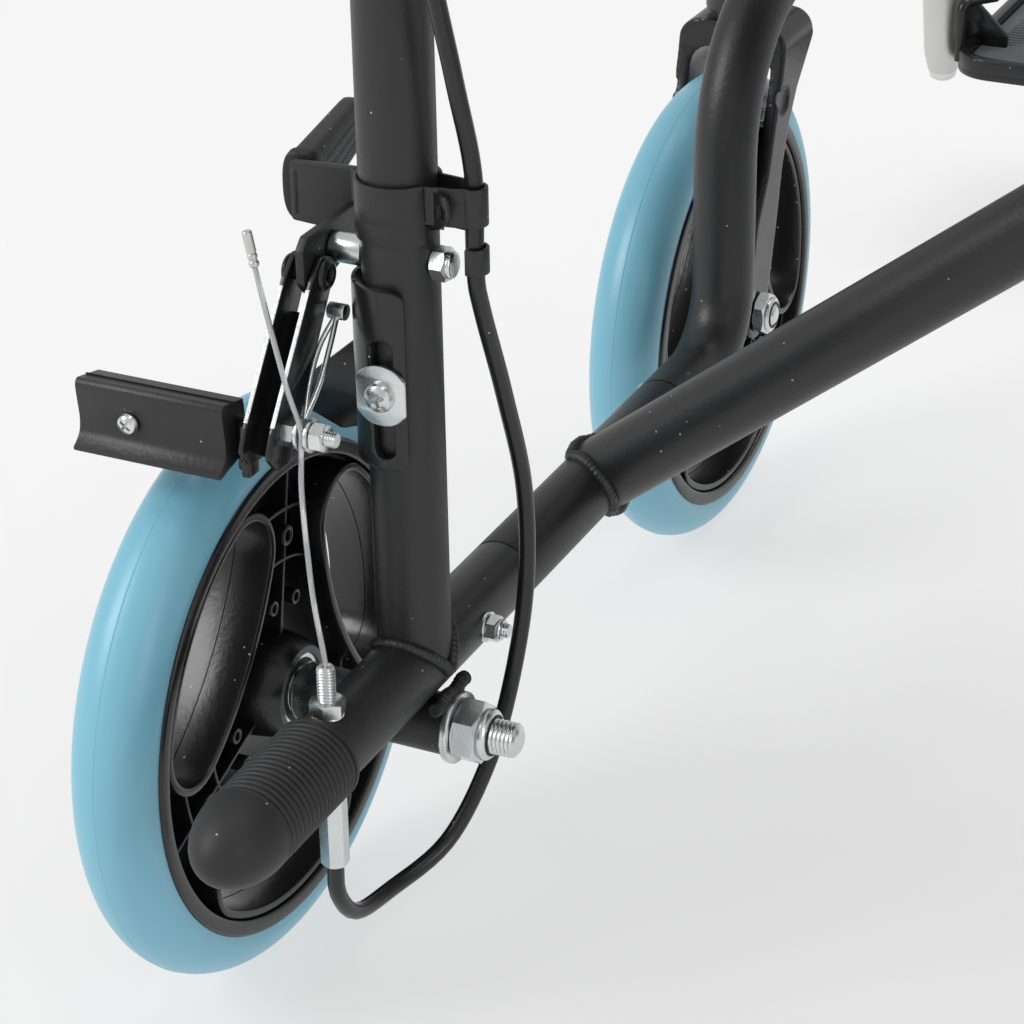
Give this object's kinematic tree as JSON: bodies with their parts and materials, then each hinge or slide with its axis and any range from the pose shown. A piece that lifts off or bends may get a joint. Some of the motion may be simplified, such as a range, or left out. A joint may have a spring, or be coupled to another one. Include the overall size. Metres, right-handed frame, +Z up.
{
  "type": "transport chair",
  "caption": "Folding transport chair with small wheels, swivelling casters, X brace, footrests and cable-worked hand brakes.",
  "frame": {"origin": "on the floor under the middle of the chair's outer size", "axes": "+Z up, the chair faces -Y, +X to its left"},
  "size_m": [0.606, 1.028, 0.9535],
  "materials": {
    "black_powder_coat": "satin",
    "blue_tyre": "satin",
    "black_moulding": "satin",
    "black_rubber": "matte",
    "zinc_plate": "satin",
    "grey_tube": "satin",
    "black_sheath": "satin",
    "black_fabric": "matte",
    "padded_vinyl": "matte"
  },
  "bodies": {
    "frame_left": {"side_frame_left": "black_powder_coat", "tipping_cap_left": "black_rubber", "armrest_pad_left": "padded_vinyl", "side_panel_left": "black_moulding", "push_grip_left": "black_rubber", "hand_brake_bracket_left": "black_powder_coat", "cable_adjuster_left": "zinc_plate", "cable_clip_left": "black_powder_coat", "brake_cable_left": "black_sheath", "brake_wire_left": "zinc_plate", "brake_bracket_left": "black_powder_coat", "brake_pivot_bolt_left": "zinc_plate", "rear_axle_left": "zinc_plate", "back_cover": "black_fabric"},
    "brace_a": {"cross_brace_a": "black_powder_coat", "seat_cover": "black_fabric"},
    "brace_b": {"cross_brace_b": "black_powder_coat"},
    "frame_right": {"side_frame_right": "black_powder_coat", "tipping_cap_right": "black_rubber", "armrest_pad_right": "padded_vinyl", "side_panel_right": "black_moulding", "push_grip_right": "black_rubber", "hand_brake_bracket_right": "black_powder_coat", "cable_adjuster_right": "zinc_plate", "cable_clip_right": "black_powder_coat", "brake_cable_right": "black_sheath", "brake_wire_right": "zinc_plate", "brake_bracket_right": "black_powder_coat", "brake_pivot_bolt_right": "zinc_plate", "rear_axle_right": "zinc_plate"},
    "rear_wheel_left": {"rear_rim_left": "black_moulding", "rear_tyre_left": "blue_tyre"},
    "caster_yoke_left": {"caster_fork_left": "black_moulding", "caster_axle_left": "zinc_plate"},
    "caster_wheel_left": {"caster_rim_left": "black_moulding", "caster_tyre_left": "blue_tyre"},
    "wheel_lever_left": {"wheel_brake_lever_left": "black_powder_coat", "brake_lever_grip_left": "black_rubber"},
    "arm_rivet_left": {"brake_rivet_left": "black_powder_coat"},
    "brake_arm_left": {"brake_arm_left": "black_powder_coat", "brake_shoe_left": "black_powder_coat"},
    "hand_lever_left": {"hand_brake_lever_left": "black_moulding"},
    "footrest_left": {"footrest_hanger_left": "black_powder_coat", "footrest_tube_left": "grey_tube"},
    "plate_left": {"footplate_left": "black_moulding"},
    "rear_wheel_right": {"rear_rim_right": "black_moulding", "rear_tyre_right": "blue_tyre"},
    "caster_yoke_right": {"caster_fork_right": "black_moulding", "caster_axle_right": "zinc_plate"},
    "caster_wheel_right": {"caster_rim_right": "black_moulding", "caster_tyre_right": "blue_tyre"},
    "wheel_lever_right": {"wheel_brake_lever_right": "black_powder_coat", "brake_lever_grip_right": "black_rubber"},
    "arm_rivet_right": {"brake_rivet_right": "black_powder_coat"},
    "brake_arm_right": {"brake_arm_right": "black_powder_coat", "brake_shoe_right": "black_powder_coat"},
    "hand_lever_right": {"hand_brake_lever_right": "black_moulding"},
    "footrest_right": {"footrest_hanger_right": "black_powder_coat", "footrest_tube_right": "grey_tube"},
    "plate_right": {"footplate_right": "black_moulding"}
  },
  "joints": [
    {"name": "fold", "type": "hinge", "parent": "frame_left", "child": "brace_a", "pos_m": [0.215, 0.145, 0.1215], "axis": [0, 1, 0], "range_deg": [0, 37.5], "deforming": ["seat_cover", "back_cover"]},
    {"name": "fold_cross", "type": "hinge", "parent": "brace_a", "child": "brace_b", "pos_m": [0, 0.131, 0.2913], "axis": [0, 1, 0], "range_deg": [-75, 0]},
    {"name": "fold_right", "type": "hinge", "parent": "brace_b", "child": "frame_right", "pos_m": [-0.215, 0.145, 0.1215], "axis": [0, 1, 0], "range_deg": [0, 37.5]},
    {"name": "rear_wheel_spin_left", "type": "hinge", "parent": "frame_left", "child": "rear_wheel_left", "pos_m": [0.275, 0.286, 0.1], "axis": [1, 0, 0], "continuous": true},
    {"name": "caster_swivel_left", "type": "hinge", "parent": "frame_left", "child": "caster_yoke_left", "pos_m": [0.256, -0.103, 0.26], "axis": [0, 0, 1], "continuous": true},
    {"name": "caster_spin_left", "type": "hinge", "parent": "caster_yoke_left", "child": "caster_wheel_left", "pos_m": [0.256, -0.062, 0.1], "axis": [1, 0, 0], "continuous": true},
    {"name": "wheel_brake_lever_pivot_left", "type": "hinge", "parent": "frame_left", "child": "wheel_lever_left", "pos_m": [0.2395, 0.286, 0.262], "axis": [1, 0, 0], "range_deg": [-34, 0]},
    {"name": "arm_rivet_turn_left", "type": "hinge", "parent": "wheel_lever_left", "child": "arm_rivet_left", "pos_m": [0.2407, 0.297, 0.257], "axis": [1, 0, 0], "range_deg": [0, 26.79]},
    {"name": "brake_arm_pull_left", "type": "hinge", "parent": "arm_rivet_left", "child": "brake_arm_left", "pos_m": [0.2407, 0.297, 0.257], "axis": [1, 0, 0], "range_deg": [-15.76, 0]},
    {"name": "hand_brake_lever_pivot_left", "type": "hinge", "parent": "frame_left", "child": "hand_lever_left", "pos_m": [0.215, 0.394, 0.9065], "axis": [1, 0, 0], "range_deg": [0, 16], "stiffness_Nm_per_rad": 0.5, "springref_deg": -5.73},
    {"name": "footrest_swing_left", "type": "hinge", "parent": "frame_left", "child": "footrest_left", "pos_m": [0.215, -0.1385, 0.4], "axis": [0, 0, 1], "range_deg": [0, 90]},
    {"name": "footplate_flip_left", "type": "hinge", "parent": "footrest_left", "child": "plate_left", "pos_m": [0.263, -0.3955, 0.13], "axis": [0, 1, 0], "range_deg": [0, 90]},
    {"name": "rear_wheel_spin_right", "type": "hinge", "parent": "frame_right", "child": "rear_wheel_right", "pos_m": [-0.275, 0.286, 0.1], "axis": [1, 0, 0], "continuous": true},
    {"name": "caster_swivel_right", "type": "hinge", "parent": "frame_right", "child": "caster_yoke_right", "pos_m": [-0.256, -0.103, 0.26], "axis": [0, 0, 1], "continuous": true},
    {"name": "caster_spin_right", "type": "hinge", "parent": "caster_yoke_right", "child": "caster_wheel_right", "pos_m": [-0.256, -0.062, 0.1], "axis": [1, 0, 0], "continuous": true},
    {"name": "wheel_brake_lever_pivot_right", "type": "hinge", "parent": "frame_right", "child": "wheel_lever_right", "pos_m": [-0.2395, 0.286, 0.262], "axis": [1, 0, 0], "range_deg": [-34, 0]},
    {"name": "arm_rivet_turn_right", "type": "hinge", "parent": "wheel_lever_right", "child": "arm_rivet_right", "pos_m": [-0.2407, 0.297, 0.257], "axis": [1, 0, 0], "range_deg": [0, 26.79]},
    {"name": "brake_arm_pull_right", "type": "hinge", "parent": "arm_rivet_right", "child": "brake_arm_right", "pos_m": [-0.2407, 0.297, 0.257], "axis": [1, 0, 0], "range_deg": [-15.76, 0]},
    {"name": "hand_brake_lever_pivot_right", "type": "hinge", "parent": "frame_right", "child": "hand_lever_right", "pos_m": [-0.215, 0.394, 0.9065], "axis": [1, 0, 0], "range_deg": [0, 16], "stiffness_Nm_per_rad": 0.5, "springref_deg": -5.73},
    {"name": "footrest_swing_right", "type": "hinge", "parent": "frame_right", "child": "footrest_right", "pos_m": [-0.215, -0.1385, 0.4], "axis": [0, 0, -1], "range_deg": [0, 90]},
    {"name": "footplate_flip_right", "type": "hinge", "parent": "footrest_right", "child": "plate_right", "pos_m": [-0.263, -0.3955, 0.13], "axis": [0, -1, 0], "range_deg": [0, 90]}
  ],
  "couplings": [
    {"joint": "fold_cross", "follows": "fold", "ratio": -2},
    {"joint": "fold_right", "follows": "fold", "ratio": 1},
    {"joint": "arm_rivet_turn_left", "follows": "wheel_brake_lever_pivot_left", "ratio": -0.788},
    {"joint": "brake_arm_pull_left", "follows": "hand_brake_lever_pivot_left", "ratio": -0.985},
    {"joint": "footplate_flip_left", "follows": "fold", "ratio": 2.4},
    {"joint": "arm_rivet_turn_right", "follows": "wheel_brake_lever_pivot_right", "ratio": -0.788},
    {"joint": "brake_arm_pull_right", "follows": "hand_brake_lever_pivot_right", "ratio": -0.985},
    {"joint": "footplate_flip_right", "follows": "fold", "ratio": 2.4}
  ]
}
